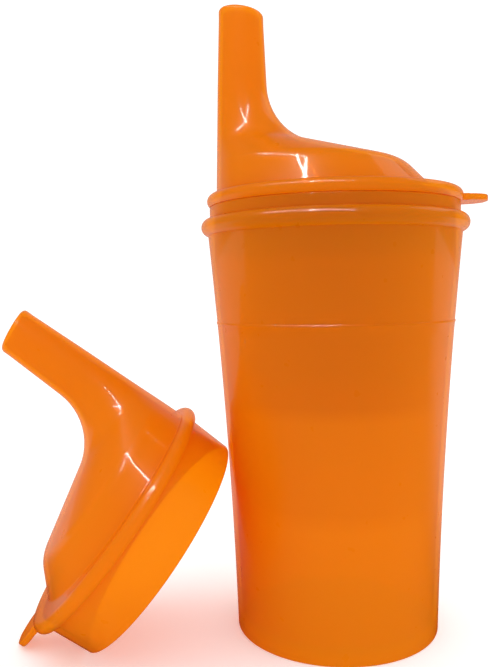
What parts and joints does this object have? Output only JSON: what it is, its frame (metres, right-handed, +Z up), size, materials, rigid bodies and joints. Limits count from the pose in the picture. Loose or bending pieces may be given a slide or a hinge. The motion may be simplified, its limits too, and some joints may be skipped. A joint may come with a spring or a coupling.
{
  "type": "spouted drinking beaker",
  "caption": "Tall tapered drinking cup with a bead below its rim, a lift-off lid with a humped crown and upright side spout, and a matching spare lid leaning on it.",
  "frame": {"origin": "centre of the cup's foot, on the surface that the cup stands on", "axes": "+Z up along the cup's axis; the fitted lid's spout is on the -X side and its pull tab points to +X; the spare lid stands on the -X side, turned 8 degrees towards -Y"},
  "size_m": [0.1339, 0.081, 0.1736],
  "materials": {
    "cup_plastic": "smooth see-through orange moulded polypropylene, glossy outside",
    "lid_plastic": "smooth see-through orange moulded polypropylene, glossy",
    "spare_lid_plastic": "smooth see-through orange moulded polypropylene, glossy"
  },
  "bodies": {
    "cup": {"cup": "cup_plastic"},
    "spouted_lid": {"spouted_lid": "lid_plastic"},
    "spare_lid": {"spare_lid": "spare_lid_plastic"}
  },
  "joints": [
    {"name": "lid_lift", "type": "slide", "parent": "cup", "child": "spouted_lid", "axis": [0, 0, 1], "range_m": [0, 0.06]},
    {"name": "spare_lid_slide", "type": "slide", "parent": "cup", "child": "spare_lid", "axis": [-0.9903, -0.1392, 0], "range_m": [0, 0.08]}
  ]
}
